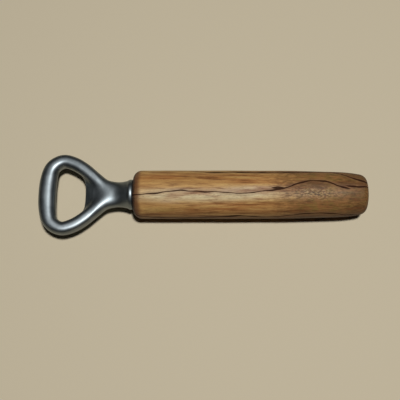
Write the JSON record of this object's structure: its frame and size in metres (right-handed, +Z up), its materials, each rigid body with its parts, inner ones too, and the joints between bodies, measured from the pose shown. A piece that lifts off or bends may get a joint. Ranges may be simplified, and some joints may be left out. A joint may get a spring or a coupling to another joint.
{
  "type": "bottle opener",
  "caption": "Hand bottle opener: a cast metal ring head with a recessed pry lip and trumpet neck, screwed into a turned, tapered hardwood handle.",
  "frame": {"origin": "on the resting surface, below the middle of the opener's length and width", "axes": "+X from the opener head to the end of the handle, +Y across the ring, +Z up, with the opener lying on its handle and the ring level"},
  "size_m": [0.1666, 0.0418, 0.0245],
  "materials": {
    "head_metal": "satin",
    "stud_steel": "satin",
    "insert_brass": "satin",
    "handle_wood": "satin"
  },
  "bodies": {
    "root": {"opener_head": "head_metal", "threaded_stud": "stud_steel", "threaded_insert": "insert_brass", "wooden_handle": "handle_wood"}
  },
  "joints": []
}
